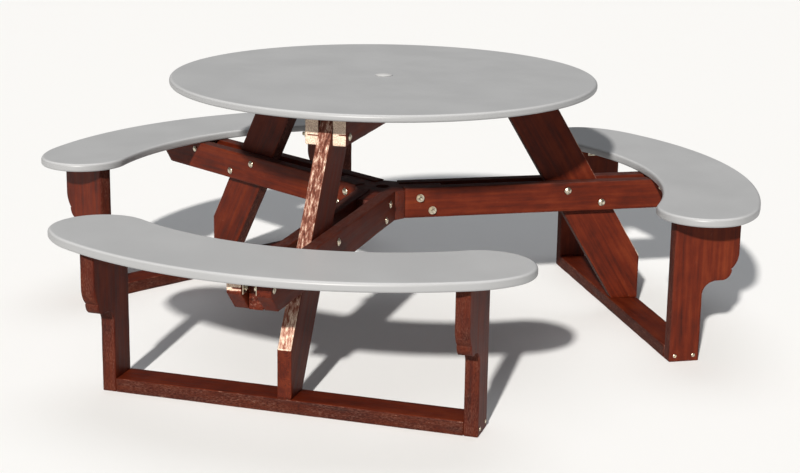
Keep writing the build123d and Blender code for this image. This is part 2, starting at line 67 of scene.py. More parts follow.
def direction(azimuth, elevation):
    """Unit vector towards an azimuth and an elevation in degrees."""
    azimuth, elevation = math.radians(azimuth), math.radians(elevation)
    flat = math.cos(elevation)
    return Vector((math.cos(azimuth) * flat, math.sin(azimuth) * flat, math.sin(elevation)))


def add_object(name, data):
    thing = bpy.data.objects.new(name, data)
    bpy.context.scene.collection.objects.link(thing)
    return thing


def build_camera():
    data = bpy.data.cameras.new("camera")
    camera = add_object("camera", data)
    data.sensor_width = SENSOR
    data.lens = LENS
    data.shift_x, data.shift_y = SHIFT
    forward = direction(CAMERA_AZIMUTH + 180 + CAMERA_YAW, CAMERA_PITCH)
    right = forward.cross(UP).normalized()
    up = right.cross(forward)
    roll = math.radians(CAMERA_ROLL)
    rolled_right = right * math.cos(roll) + up * math.sin(roll)
    rolled_up = up * math.cos(roll) - right * math.sin(roll)
    turn = Matrix((rolled_right, rolled_up, -forward)).transposed().to_4x4()
    place_on_circle = direction(CAMERA_AZIMUTH, 0) * CAMERA_DISTANCE
    spot = place_on_circle + UP * CAMERA_HEIGHT
    camera.matrix_world = Matrix.Translation(spot) @ turn
    bpy.context.scene.camera = camera


# ---------------------------------------- light and floor
KEY = {"azimuth": -86.1, "elevation": 27.7, "strength": 5.3, "softness": 2.2}
FILL = {"azimuth": 100, "elevation": 72, "strength": 0.55, "softness": 40}
KEY_COLOUR = (1.0, 0.97, 0.92)
FILL_COLOUR = (0.96, 0.98, 1.0)
SKY_COLOUR = (0.93, 0.96, 1.0, 1)
SKY_STRENGTH = 0.15
FLOOR_HALF = 30
FLOOR_COLOUR = (0.9, 0.9, 0.9, 1)
FLOOR_ROUGHNESS = 0.9
FLOOR_GLOSS = 0.1


def add_sun(name, look, colour):
    data = bpy.data.lights.new(name, "SUN")
    data.energy = look["strength"]
    data.angle = math.radians(look["softness"])
    data.color = colour
    towards = direction(look["azimuth"], look["elevation"])
    add_object(name, data).rotation_euler = towards.to_track_quat("Z", "Y").to_euler()


def build_light():
    add_sun("key", KEY, KEY_COLOUR)
    add_sun("fill", FILL, FILL_COLOUR)
    world = bpy.data.worlds.new("studio")
    world.use_nodes = True
    background = world.node_tree.nodes["Background"]
    background.inputs["Color"].default_value = SKY_COLOUR
    background.inputs["Strength"].default_value = SKY_STRENGTH
    bpy.context.scene.world = world


def build_floor():
    mesh = bpy.data.meshes.new("floor")
    reach = FLOOR_HALF
    corners = [(-reach, -reach, 0), (reach, -reach, 0), (reach, reach, 0), (-reach, reach, 0)]
    mesh.from_pydata(corners, [], [(0, 1, 2, 3)])
    floor = add_object("floor", mesh)
    material = bpy.data.materials.new("floor_paint")
    material.use_nodes = True
    shader = material.node_tree.nodes["Principled BSDF"]
    shader.inputs["Base Color"].default_value = FLOOR_COLOUR
    shader.inputs["Roughness"].default_value = FLOOR_ROUGHNESS
    shader.inputs["Specular IOR Level"].default_value = FLOOR_GLOSS
    mesh.materials.append(material)


# ---------------------------------------- node helpers
class Shader:
    """A material with its node tree, and short ways to add to it."""

    def __init__(self, name):
        self.material = bpy.data.materials.new(name)
        self.material.use_nodes = True
        self.tree = self.material.node_tree
        self.surface = self.tree.nodes["Principled BSDF"]

    def node(self, kind, inputs=(), output=0, **settings):
        """Add a node with these settings and inputs, and return one of its outputs."""
        made = self.tree.nodes.new(kind)
        for key, value in settings.items():
            setattr(made, key, value)
        for key, value in dict(inputs).items():
            self.feed(made.inputs[key], value)
        return made.outputs[output]

    def feed(self, socket, value):
        if isinstance(value, bpy.types.NodeSocket):
            self.tree.links.new(value, socket)
        else:
            socket.default_value = value

    def math(self, operation, a, b):
        return self.node("ShaderNodeMath", {0: a, 1: b}, operation=operation)

    def add(self, a, b):
        return self.math("ADD", a, b)

    def times(self, a, b):
        return self.math("MULTIPLY", a, b)

    def fade(self, value, low, high):
        """0 below low, 1 above high, smooth between."""
        inputs = {"Value": value, "From Min": low, "From Max": high}
        return self.node("ShaderNodeMapRange", inputs, interpolation_type="SMOOTHSTEP")

    def stretch(self, value, low, high, new_low, new_high):
        inputs = {"Value": value, "From Min": low, "From Max": high}
        inputs.update({"To Min": new_low, "To Max": new_high})
        return self.node("ShaderNodeMapRange", inputs)

    def scaled(self, vector, scale):
        inputs = {0: vector, 1: scale}
        return self.node("ShaderNodeVectorMath", inputs, operation="MULTIPLY")

    def noise(self, vector, scale=1.0, detail=3.0, roughness=0.5, distortion=0.0):
        inputs = {"Vector": vector, "Scale": scale, "Detail": detail}
        inputs.update({"Roughness": roughness, "Distortion": distortion})
        return self.node("ShaderNodeTexNoise", inputs)

    def mix(self, factor, a, b, blend="MIX"):
        inputs = {0: factor, 6: a, 7: b}
        settings = {"data_type": "RGBA", "blend_type": blend, "clamp_factor": True}
        return self.node("ShaderNodeMix", inputs, 2, **settings)

    def ramp(self, value, stops):
        """Colour ramp through (place, colour) stops."""
        output = self.node("ShaderNodeValToRGB", {0: value})
        elements = output.node.color_ramp.elements
        while len(elements) < len(stops):
            elements.new(0.5)
        for element, (place, colour) in zip(elements, stops):
            element.position = place
            element.color = colour
        return output

    def bump(self, height, strength, distance):
        inputs = {"Height": height, "Strength": strength, "Distance": distance}
        return self.node("ShaderNodeBump", inputs)

    def attribute(self, name, output="Fac"):
        made = self.node("ShaderNodeAttribute", attribute_name=name)
        return made.node.outputs[output]

    def finish(self, **inputs):
        """Feed the surface shader, and return the material. Underscores stand for spaces."""
        for key, value in inputs.items():
            self.feed(self.surface.inputs[key.replace("_", " ")], value)
        return self.material


# ---------------------------------------- materials
STAIN_DARK = (0.012, 0.0021, 0.0012, 1)
STAIN = (0.082, 0.0088, 0.0014, 1)
STAIN_LIGHT = (0.148, 0.0235, 0.0052, 1)
FADED = (0.33, 0.115, 0.075, 1)      # stain gone thin on an exposed edge
FIBRE = (0.20, 0.083, 0.052, 1)      # rough-sawn fibres that took little stain
BARE = (0.86, 0.72, 0.56, 1)         # wood whose stain has worn off
BARE_DARK = (0.30, 0.105, 0.065, 1)
# dust and a painted grey sheen of the sky, on the arms' upward faces and on the hub block
DUST_AND_SHEEN = (0.075, 0.045, 0.042, 1)
SAWN_PAINTED_SHADE = (0.42, 0.5, 0.6, 1)      # painted shade of a rough-sawn face, which also takes red out of it
END_TINT = (0.3, 0.25, 0.22, 1)      # of the dark rings on a sawn end
GREY = (0.452, 0.456, 0.464)         # moulded top and seats
PALE_GREY = (0.56, 0.56, 0.56)       # plug
SCUFF = (0.8, 0.8, 0.8, 1)           # pale rub marks on plastic
WARM_ZINC = (0.74, 0.66, 0.50, 1)
DULL_ZINC = (0.52, 0.47, 0.38, 1)
ZINC_GRIT = (0.3, 0.26, 0.2, 1)
TIMBER_GLOSS = 0.17                  # specular levels
PLASTIC_GLOSS = 0.5
OBJECT_SPACE = 3                     # outputs of the nodes that give places and normals
NORMAL_OUTPUT = 1


def timber(name):
    """Red-brown stained softwood. Boards carry their grain place and wear as attributes."""
    look = Shader(name)
    grain = look.attribute("grain", "Vector")
    bare = look.attribute("bare")
    sawn = look.attribute("sawn")
    cut = look.attribute("cut")
    dusty = look.attribute("dusty")

    def wood(along, across, **settings):
        """Noise stretched along the grain; a higher scale makes it finer."""
        return look.noise(look.scaled(grain, (along, across, across)), **settings)

    # figure of the wood
    broad = wood(1.3, 22, detail=3)
    bent = wood(1.1, 11, detail=2)
    fine = wood(9, 330, detail=4, roughness=0.65)
    streak = wood(4, 75, detail=5, roughness=0.6)
    ring_place = look.add(look.times(bent, 26), look.times(broad, 7))
    ring = look.math("PINGPONG", ring_place, 1.0)
    ring = look.fade(ring, 0.1, 0.95)
    cells = look.node(
        "ShaderNodeTexVoronoi",
        {"Vector": look.scaled(grain, (3.2, 11, 11)), "Scale": 1.0, "Randomness": 1.0},
    )
    knot = look.math("SUBTRACT", 1.0, look.fade(cells, 0.05, 0.13))
    patina = wood(13, 21, detail=5, roughness=0.62)
    tone = look.add(look.times(streak, 0.42), look.times(broad, 0.2))
    tone = look.add(tone, look.times(patina, 0.36))
    tone = look.add(tone, look.times(ring, 0.035))
    colour = look.ramp(tone, [(0.28, STAIN_DARK), (0.5, STAIN), (0.72, STAIN_LIGHT)])
    colour = look.mix(look.times(knot, 0.55), colour, STAIN_DARK)
    colour = look.mix(look.times(look.fade(fine, 0.52, 0.75), 0.3), colour, STAIN_DARK)

    # rough-sawn faces: short torn fibres, lighter than the stain, with painted shade in the pits
    # between them and over the whole face
    torn = wood(120, 420, detail=5, roughness=0.7)
    patch = wood(14, 60, detail=4)
    tear = look.times(look.fade(torn, 0.46, 0.66), look.fade(patch, 0.3, 0.65))
    colour = look.mix(look.times(tear, look.times(sawn, 0.8)), colour, FIBRE)
    # painted shade: the hollows between the torn fibres get the dark stain colour
    pit_painted_shade = look.times(look.fade(torn, 0.5, 0.38), look.times(sawn, 0.6))
    colour = look.mix(pit_painted_shade, colour, STAIN_DARK)
    # painted shade: rough-sawn faces are darkened and made less red
    colour = look.mix(look.times(sawn, 0.75), colour, SAWN_PAINTED_SHADE, "MULTIPLY")

    # worn and unstained wood
    blotch = wood(38, 150, detail=6, roughness=0.72)
    thin = look.fade(look.add(bare, look.times(blotch, 0.8)), 0.62, 0.95)
    colour = look.mix(thin, colour, FADED)
    wear = look.fade(look.add(bare, look.times(blotch, 1.4)), 1.06, 1.36)
    scuff = wood(55, 90, detail=5, roughness=0.8, distortion=0.8)
    rubbed = look.times(look.fade(scuff, 0.6, 0.74), look.fade(patina, 0.45, 0.62))
    colour = look.mix(look.times(rubbed, 0.4), colour, FIBRE)
    bare_colour = look.mix(look.times(look.fade(torn, 0.42, 0.62), 0.75), BARE, BARE_DARK)
    colour = look.mix(wear, colour, bare_colour)

    # sawn ends: growth rings seen square on, darker because they drink more stain
    turned = wood(30, 14, detail=1)
    rings = look.math("PINGPONG", look.times(turned, 60), 1.0)
    end_shade = look.times(look.fade(rings, 0.2, 0.8), look.stretch(bare, 0, 1, 0.62, 0.14))
    colour = look.mix(look.times(cut, end_shade), colour, END_TINT, "MULTIPLY")
    # dust and a painted sheen of the sky, in blotches
    dust_and_sheen_film = look.times(dusty, look.fade(blotch, 0.35, 0.65))
    colour = look.mix(look.times(dust_and_sheen_film, 0.55), colour, DUST_AND_SHEEN)

    height = look.add(look.times(fine, 0.5), look.times(streak, 0.5))
    height = look.add(height, look.times(look.times(torn, 1.6), sawn))
    height = look.math("SUBTRACT", height, look.times(wear, 0.25))
    normal = look.bump(height, 0.55, 0.0009)
    gloss = look.stretch(streak, 0.3, 0.7, 0.5, 0.66)
    gloss = look.add(gloss, look.times(look.math("MAXIMUM", wear, sawn), 0.18))
    look.surface.inputs["Specular IOR Level"].default_value = TIMBER_GLOSS
    return look.finish(Base_Color=colour, Roughness=gloss, Normal=normal)


def dimmed(shade, share):
    """A colour times a share, with its alpha."""
    return tuple(part * share for part in shade) + (1,)


def moulded(name, shade, roughness):
    """Smooth moulded plastic with a faint skin texture, a little handling wear, and painted shade
    on its rim.
    """
    look = Shader(name)
    place = look.node("ShaderNodeTexCoord", output=OBJECT_SPACE)
    cloud = look.noise(place, 5.5, detail=5, roughness=0.6)
    speck = look.noise(place, 900, detail=2)
    skin = look.noise(place, 420, detail=3, roughness=0.6)
    scuff = look.noise(look.scaled(place, (14, 90, 14)), detail=6, roughness=0.75, distortion=1.2)
    colour = look.mix(look.fade(cloud, 0.3, 0.7), dimmed(shade, 0.975), dimmed(shade, 1.02))
    grey = look.times(look.fade(speck, 0.58, 0.72), 0.16)
    colour = look.mix(grey, colour, dimmed(shade, 0.6))
    mark = look.fade(scuff, 0.6, 0.72)
    colour = look.mix(look.times(mark, 0.10), colour, SCUFF)

    # painted shade: faces that don't look up, the rim above all, get a darker grey, to hold down
    # how bright the low key light makes them
    facing = look.node("ShaderNodeNewGeometry", output=NORMAL_OUTPUT)
    upward = look.node("ShaderNodeSeparateXYZ", {0: facing}, output=2)
    rim_painted_shade = look.math("SUBTRACT", 1.0, look.fade(upward, 0.3, 0.98))
    colour = look.mix(look.times(rim_painted_shade, 0.85), colour, dimmed(shade, 0.56))
    rough = look.stretch(cloud, 0.3, 0.7, roughness - 0.04, roughness + 0.05)
    rough = look.add(rough, look.times(mark, 0.1))
    normal = look.bump(skin, 0.12, 0.0003)
    look.surface.inputs["Specular IOR Level"].default_value = PLASTIC_GLOSS
    return look.finish(Base_Color=colour, Roughness=rough, Normal=normal)


def zinc(name):
    """Yellowish zinc plating, a little dulled."""
    look = Shader(name)
    place = look.node("ShaderNodeTexCoord", output=OBJECT_SPACE)
    cloud = look.noise(place, 160, detail=4, roughness=0.6)
    grit = look.noise(place, 1900, detail=3)
    colour = look.mix(look.fade(cloud, 0.35, 0.7), WARM_ZINC, DULL_ZINC)
    colour = look.mix(look.times(look.fade(grit, 0.6, 0.75), 0.5), colour, ZINC_GRIT)
    rough = look.stretch(cloud, 0.3, 0.7, 0.2, 0.36)
    normal = look.bump(grit, 0.15, 0.0002)
    look.surface.inputs["Metallic"].default_value = 1.0
    return look.finish(Base_Color=colour, Roughness=rough, Normal=normal)


# ---------------------------------------- places in a bay
def outward(bay):
    return direction(BAYS[bay], 0)


def sideways(bay):
    return direction(BAYS[bay] + 90, 0)


def place(bay, u, v, z):
    return outward(bay) * u + sideways(bay) * v + UP * z


def axes(origin, x_axis, y_axis):
    """Matrix of a right-handed frame at an origin."""
    z_axis = x_axis.cross(y_axis)
    turn = Matrix((x_axis, y_axis, z_axis)).transposed().to_4x4()
    return Matrix.Translation(origin) @ turn


def front_span(node):
    """Lowest and highest u, v and z of a node of the front bay."""
    low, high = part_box(node)
    return (-high[1], -low[1]), (low[0], high[0]), (low[2], high[2])


(ARM_START, ARM_END), ARM_V, (ARM_BOTTOM, ARM_TOP) = front_span("arm_front_right")
TIMBER = ARM_V[1] - ARM_V[0]
HALF = TIMBER / 2
(BATTEN_START, BATTEN_END), _, (BATTEN_BOTTOM, TOP_UNDERSIDE) = front_span("top_batten_front_right")
(SKID_INNER, SKID_OUTER), SKID_V, _ = front_span("skid_front")
(_, UPRIGHT_OUTER), UPRIGHT_V, (_, SEAT_UNDERSIDE) = front_span("upright_front_right")
(SPACER_START, SPACER_END), _, _ = front_span("arm_spacer_front")
LEG_LEAN = math.atan(0.596)  # from upright
LEG_GROUND = 0.905         # u where a leg's outer edge would meet the ground
LEG_WIDTH = 0.140
ARM_END_CUT = 0.051

# fasteners' places, as (u, z) in a bay, as in the CAD part
LEG_BOLTS = ((0.553, 0.393), (0.660, 0.354))
HUB_BOLTS = ((0.101, 0.389), (0.138, 0.351))
BATTEN_BOLTS = ((0.470, 0.657), (0.385, 0.697))
SEAT_BOLTS = ((0.849, 0.394), (1.016, 0.394))
SKID_SCREWS = ((0.731, 0.018), (0.786, 0.018))
SPACER_SCREWS = ((0.920, 0.350), (0.965, 0.395))
FOOT_SCREWS_U = (0.744, 0.782)
TABLE_SCREWS_U = (0.145, 0.440)
SCREW_POCKET = 0.0065      # radius of the hole that a sunk screw head lies in
FOOT_RECESS = 0.0056       # depth of those holes under the skids
POCKET_SIDES = 24
PAST = 0.001               # a cutter stands this far out of what it cuts

# ---------------------------------------- mesh helpers
CREASE = math.radians(35)  # steeper edges stay sharp in the shading


def add_note(mesh, key, values):
    """Give each point of a mesh a number for its material, or a vector if values has 3 each."""
    vector = len(values) > len(mesh.vertices)
    layer = mesh.attributes.new(key, "FLOAT_VECTOR" if vector else "FLOAT", "POINT")
    layer.data.foreach_set("vector" if vector else "value", values)


def as_data(mesh, name, smooth=False):
    """Turn a bmesh into mesh data."""
    data = bpy.data.meshes.new(name)
    mesh.to_mesh(data)
    mesh.free()
    if smooth:
        data.shade_smooth()
        data.set_sharp_from_angle(angle=CREASE)
    return data


def circle(radius, count, x=0.0, y=0.0):
    turns = [math.tau * step / count for step in range(count)]
    return [(x + radius * math.cos(turn), y + radius * math.sin(turn)) for turn in turns]


def prism(outline, low, high):
    """Closed mesh of a plan outline from one height to another."""
    mesh = bmesh.new()
    rings = [[mesh.verts.new((x, y, z)) for x, y in outline] for z in (low, high)]
    mesh.faces.new(rings[0][::-1])
    mesh.faces.new(rings[1])
    for i in range(len(outline)):
        after = (i + 1) % len(outline)
        mesh.faces.new((rings[0][i], rings[0][after], rings[1][after], rings[1][i]))
    return as_data(mesh, "prism")


def softened(mesh, width, name):
    """Bevel every sharp edge of a closed mesh."""
    work = bmesh.new()
    work.from_mesh(mesh)
    sharp = [edge for edge in work.edges if edge.calc_face_angle(0) > math.radians(30)]
    bmesh.ops.bevel(work, geom=sharp, offset=width, segments=3, profile=0.5, affect="EDGES")
    return as_data(work, name, smooth=True)


def cut_away(mesh, cutters, name):
    """A copy of a mesh without what closed cutter meshes cover."""
    joined = bmesh.new()
    for cutter in cutters:
        joined.from_mesh(cutter)
    body = add_object("blank", mesh)
    tool = add_object("cutter", as_data(joined, "cutter"))
    cut = body.modifiers.new("cut", "BOOLEAN")
    cut.object = tool
    cut.operation = "DIFFERENCE"
    cut.use_self = True
    graph = bpy.context.evaluated_depsgraph_get()
    made = bpy.data.meshes.new_from_object(body.evaluated_get(graph))
    made.name = name
    bpy.data.objects.remove(tool)
    bpy.data.objects.remove(body)
    return made


# ---------------------------------------- boards
ARRIS = 0.0028             # rounding of a board's edges
GRAIN_STEP = 0.009
UPRIGHT_STEP = 0.004       # finer, for the curved outline
CROSS_STEP = 0.0062
LEAST_STEP = 0.0004
RELIEF = 0.00035           # hollows between the grain's ridges
SWELL = 0.0004             # slow unevenness of a planed face
CHIP = 0.0014              # deepest wear of an arris


def samples(length, step, extra=()):
    """Places from 0 to length, close together near both ends, with some extra ones."""
    count = max(2, round((length - 2 * ARRIS) / step))
    inner = [ARRIS + (length - 2 * ARRIS) * i / count for i in range(count + 1)]
    rims = [0, 0.35 * ARRIS, length - 0.35 * ARRIS, length]
    kept = [x for x in inner if all(abs(x - other) > LEAST_STEP for other in extra)]
    return sorted(rims + kept + list(extra))


def rounded(point, size):
    """Round the edges of the box from 0 to size, and say how the surface faces there."""
    core = Vector([min(max(p, ARRIS), s - ARRIS) for p, s in zip(point, size)])
    off = point - core
    reach = max(abs(part) for part in off)
    facing = off.normalized()
    return core + facing * reach, facing


def keep_margins(along, nominal, low, high):
    """Carry a place from 0..nominal to low..high, with true distances near both ends."""
    margin = 2 * ARRIS
    if along < margin:
        return low + along
    if along > nominal - margin:
        return high - (nominal - along)
    share = (along - margin) / (nominal - 2 * margin)
    return low + margin + share * (high - low - 2 * margin)


class Board:
    """A board in its own frame, whose ends and edges may be cut to a shape."""

    def __init__(self, size, seed):
        self.size = size
        self.seed = seed
        self.ends = lambda y: (0, size[0])  # lowest and highest x at a y
        self.edges = lambda x: (0, size[1])  # lowest and highest y at an x
        self.x_extra = ()  # places that need a row of points
        self.y_extra = ()
        self.bare = lambda x, y, facing: 0.0  # how much stain has worn off
        self.end_bare = (0.0, 0.0)  # the same on the near and the far end
        self.dusty = 0.0  # dust and a painted sky sheen on the face towards +y
        self.rough_edges = 1.0  # how rough-sawn the two narrow faces are
        self.cutters = []
        self.grain_step = GRAIN_STEP

    def mesh(self, name):
        """A skin of small squares over the whole board, with the notes for its material."""
        steps = (self.grain_step, CROSS_STEP, CROSS_STEP)
        extras = (self.x_extra, self.y_extra, ())
        lists = [samples(*each) for each in zip(self.size, steps, extras)]
        counts = [len(places) - 1 for places in lists]
        index = {}
        points = []
        notes = {"grain": [], "bare": [], "sawn": [], "cut": [], "dusty": []}
        for i, x in enumerate(lists[0]):
            for j, y in enumerate(lists[1]):
                for k, z in enumerate(lists[2]):
                    if 0 < i < counts[0] and 0 < j < counts[1] and 0 < k < counts[2]:
                        continue
                    index[i, j, k] = len(points)
                    points.append(self.point(Vector((x, y, z)), notes))
        faces = []
        for axis in range(3):
            a, b = (axis + 1) % 3, (axis + 2) % 3
            for level in (0, counts[axis]):
                for p in range(counts[a]):
                    for q in range(counts[b]):
                        ring = []
                        for step_a, step_b in ((0, 0), (1, 0), (1, 1), (0, 1)):
                            key = [0, 0, 0]
                            key[axis], key[a], key[b] = level, p + step_a, q + step_b
                            ring.append(index[tuple(key)])
                        faces.append(ring if level else ring[::-1])
        mesh = bpy.data.meshes.new(name)
        mesh.from_pydata(points, [], faces)
        for key, values in notes.items():
            add_note(mesh, key, values)
        mesh.shade_smooth()
        mesh.update()
        return mesh

    def point(self, nominal, notes):
        """Place of one grid point, with its notes for the material."""
        soft, facing = rounded(nominal, self.size)
        shift = Vector((self.seed * 1.7, self.seed * 0.61, self.seed * 0.43))
        spot = soft + shift
        corner = 1 - max(abs(part) for part in facing)
        ridge = noise.noise(Vector((spot.x * 7, spot.y * 150, spot.z * 150)))
        slow = noise.noise(Vector((spot.x * 5, spot.y * 14, spot.z * 14)) + shift)
        chips = noise.noise(Vector((spot.x * 22, spot.y * 30, spot.z * 30)) - shift)
        depth = RELIEF * (0.5 + 0.5 * ridge) + SWELL * (0.5 + 0.5 * slow)
        if corner > 0.05:
            depth += CHIP * max(0, chips + 0.15) ** 1.2
        soft = soft - facing * depth
        low_end, high_end = self.ends(soft.y)
        low_edge, high_edge = self.edges(soft.x)
        x = keep_margins(soft.x, self.size[0], low_end, high_end)
        y = keep_margins(soft.y, self.size[1], low_edge, high_edge)
        notes["grain"] += [x + shift.x, y + shift.y, soft.z + shift.z]
        end = max(0, abs(facing.x) - 0.5) * 2
        bare = self.bare(x, y, facing)
        bare += end * self.end_bare[1 if facing.x > 0 else 0]
        bare += 0.42 * corner * (1 + chips)
        notes["bare"].append(bare)
        edge = max(0, abs(facing.y) - 0.4) / 0.6
        notes["sawn"].append(edge * self.rough_edges)
        notes["cut"].append(end)
        notes["dusty"].append(self.dusty * max(0, facing.y))
        return (x, y, soft.z)


def split(end_x, y, depth, opening):
    """Cutter of a drying crack that runs in from a board's far end, part way through its thickness.
    """
    lean = SEEDS.uniform(-0.06, 0.06)
    outline = [(end_x + PAST, y - opening / 2), (end_x + PAST, y + opening / 2)]
    outline += [(end_x - depth, y + lean * depth)]
    return prism(outline[::-1], -PAST, TIMBER * SEEDS.uniform(0.35, 0.8))


def pocket(x, y, depth):
    """Cutter of a screw's round pocket, up from z = 0 of a board's own frame."""
    return prism(circle(SCREW_POCKET, POCKET_SIDES, x, y), -PAST, depth)


def add_piece(name, mesh, node, material, body="frame"):
    """Piece with its material and body, and the CAD node that it stands for."""
    piece = add_object(name, mesh)
    mesh.materials.clear()
    mesh.materials.append(material)
    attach(piece, body)
    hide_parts(node)


def add_board(board, name, matrix, node):
    """Make a board's mesh, cut it, and put it in its place in the table."""
    mesh = board.mesh(name)
    if board.cutters:
        mesh = cut_away(mesh, board.cutters, name)
    mesh.transform(matrix)
    add_piece(name, mesh, node, STAINED)


def plank_end_bareness(x, y, facing):
    """The upper half of a plank's outer end has lost its stain."""
    return 0.7 if facing.x > 0.5 and y > 0.06 else 0.0


def build_arms():
    """Local x runs outward along the arm, y up."""
    size = (ARM_END - ARM_START, ARM_TOP - ARM_BOTTOM, TIMBER)
    for bay in BAYS:
        for side_name, side in SIDES.items():
            board = Board(size, SEEDS.random() * 9)
            board.ends = lambda y: (0, size[0] - max(0, ARM_END_CUT - y))
            board.y_extra = (ARM_END_CUT,)
            board.dusty = 0.9
            board.rough_edges = 0.4
            crack = SEEDS.uniform(0.055, 0.075)
            board.cutters.append(split(size[0], crack, SEEDS.uniform(0.02, 0.05), 0.0008))
            if bay == "front" and side < 0:
                board.bare = plank_end_bareness
            v_high = max(side * HALF, side * 3 * HALF)
            matrix = axes(place(bay, ARM_START, v_high, ARM_BOTTOM), outward(bay), UP)
            name = f"arm_board_{bay}_{side_name}"
            add_board(board, name, matrix, f"arm_{bay}_{side_name}")
        block = Board((SPACER_END - SPACER_START, size[1], TIMBER), SEEDS.random() * 9)
        block.end_bare = (0.0, 0.25)
        matrix = axes(place(bay, SPACER_START, HALF, ARM_BOTTOM), outward(bay), UP)
        add_board(block, f"spacer_block_{bay}", matrix, f"arm_spacer_{bay}")


def build_battens():
    """Local x runs outward along the batten, y up."""
    size = (BATTEN_END - BATTEN_START, TOP_UNDERSIDE - BATTEN_BOTTOM, TIMBER)
    for bay, side_name, side in BAY_SIDES:
        board = Board(size, SEEDS.random() * 9)
        board.end_bare = (0.3, 1.0)
        crack = SEEDS.uniform(0.02, 0.035)
        board.cutters.append(split(size[0], crack, SEEDS.uniform(0.02, 0.04), 0.0006))
        for u in TABLE_SCREWS_U:
            hole = pocket(u - BATTEN_START, -HALF, size[1] / 2)
            hole.transform(Matrix.Rotation(math.radians(-90), 4, "X"))
            board.cutters.append(hole)
        v_high = max(side * HALF, side * 3 * HALF)
        matrix = axes(place(bay, BATTEN_START, v_high, BATTEN_BOTTOM), outward(bay), UP)
        name = f"batten_board_{bay}_{side_name}"
        add_board(board, name, matrix, f"top_batten_{bay}_{side_name}")


def skid_bareness(x, y, facing):
    """The narrow faces have lost a little more stain than the others."""
    return 0.16 if abs(facing.y) > 0.5 else 0.05


def build_skids():
    """Local x runs along the skid, y across it on the level, z up."""
    length = SKID_V[1] - SKID_V[0]
    for bay in BAYS:
        board = Board((length, SKID_OUTER - SKID_INNER, TIMBER), SEEDS.random() * 9)
        board.bare = skid_bareness
        for u in FOOT_SCREWS_U:
            board.cutters.append(pocket(length / 2, u - SKID_INNER, FOOT_RECESS))
        matrix = axes(place(bay, SKID_INNER, SKID_V[1], 0), -sideways(bay), outward(bay))
        add_board(board, f"skid_board_{bay}", matrix, f"skid_{bay}")


def leg_bareness(x, y, facing):
    """The sloping outer edge has lost its stain, most of all below the arms."""
    if facing.y > -0.5:
        return 0.0
    return 0.48 if x < 0.32 else 0.37


def build_legs():
    """Local x runs up the leg, y from its outer edge inwards."""
    sine, cosine = math.sin(LEG_LEAN), math.cos(LEG_LEAN)

    def ends(y):
        level_cut = (TIMBER + y * sine) / cosine
        upright_cut = (LEG_GROUND - SKID_OUTER - y * cosine) / sine
        return max(level_cut, upright_cut), (TOP_UNDERSIDE + y * sine) / cosine

    length = ends(0)[1] - ends(0)[0]
    heel = (LEG_GROUND - SKID_OUTER) * cosine - TIMBER * sine
    for bay in BAYS:
        board = Board((length, LEG_WIDTH, TIMBER), SEEDS.random() * 9)
        board.ends = ends
        board.y_extra = (heel,)
        board.bare = leg_bareness
        x_axis = outward(bay) * -sine + UP * cosine
        y_axis = outward(bay) * -cosine - UP * sine
        matrix = axes(place(bay, LEG_GROUND, HALF, 0), x_axis, y_axis)
        add_board(board, f"leg_board_{bay}", matrix, f"leg_{bay}")


# outline of a bench end above its post, as in the CAD part
COVE = 0.042
COVE_END = SEAT_UNDERSIDE - 0.187
LOBE_FLAT = 0.015
SMALL_LOBE = 0.029
LOBE_GAP = 0.004
NOTCH_DEPTH = 0.0035
BIG_LOBE = 0.0628
BIG_LOBE_RISE = 0.045


def upright_width(height):
    """Width of a bench end at a height above the ground."""
    post = SKID_OUTER - SKID_INNER
    nose = post + COVE + LOBE_FLAT + SMALL_LOBE
    lobe_top = COVE_END + SMALL_LOBE
    tooth = lobe_top + LOBE_GAP
    head = UPRIGHT_OUTER - SKID_INNER
    if height <= COVE_END - COVE:
        return post
    if height <= COVE_END:
        fall = COVE_END - COVE - height
        return post + COVE - math.sqrt(max(0, COVE**2 - fall**2))
    if height <= lobe_top:
        rise = lobe_top - height
        return nose - SMALL_LOBE + math.sqrt(max(0, SMALL_LOBE**2 - rise**2))
    if height <= tooth:
        share = 1 - abs(2 * (height - lobe_top) / LOBE_GAP - 1)
        return nose - NOTCH_DEPTH * share
    if height <= tooth + BIG_LOBE_RISE:
        # the arc through the tooth and the head's corner
        run = head - nose
        half_chord = math.hypot(run, BIG_LOBE_RISE) / 2
        sag = math.sqrt(BIG_LOBE**2 - half_chord**2)
        centre_y = (nose + head) / 2 - sag * BIG_LOBE_RISE / (2 * half_chord)
        centre_x = tooth + BIG_LOBE_RISE / 2 + sag * run / (2 * half_chord)
        return centre_y + math.sqrt(max(0, BIG_LOBE**2 - (height - centre_x) ** 2))
    return head


def build_uprights():
    """Local x runs up the bench end, y outward."""
    size = (SEAT_UNDERSIDE, UPRIGHT_OUTER - SKID_INNER, TIMBER)
    steps = [COVE_END, COVE_END + 0.0005, COVE_END + 0.002]
    steps += [COVE_END + SMALL_LOBE, COVE_END + SMALL_LOBE + LOBE_GAP / 2]
    steps += [COVE_END + SMALL_LOBE + LOBE_GAP]
    for bay, side_name, side in BAY_SIDES:
        board = Board(size, SEEDS.random() * 9)
        board.edges = lambda x: (0, upright_width(x))
        board.x_extra = steps
        board.grain_step = UPRIGHT_STEP
        board.rough_edges = 0.7
        v_low = min(side * UPRIGHT_V[0], side * UPRIGHT_V[1])
        matrix = axes(place(bay, SKID_INNER, v_low, 0), UP, outward(bay))
        name = f"bench_end_{bay}_{side_name}"
        add_board(board, name, matrix, f"upright_{bay}_{side_name}")


# ---------------------------------------- hub block and steel angles
HUB_TONGUE = 0.178
HUB_BEVEL = 0.0018
POLE_HOLE = 0.020
BRACKET_WIDTH = 0.024
BRACKET_LEG = 0.040
BRACKET_FOOT = 0.016
BRACKET_BEND = 0.0025      # outer radius of its corner
STEEL = 0.003              # thickness of the brackets
BRACKET_BOLT_HOLE = 0.0043
SCREW_HOLE_SHARE = 0.7     # a bracket's screw hole as a share of its bolt hole
BRACKET_SCREW = 0.010      # a bracket's screw into the seat, out from the wood
BRACKET_BOLT = SEAT_UNDERSIDE - SEAT_BOLTS[0][1]


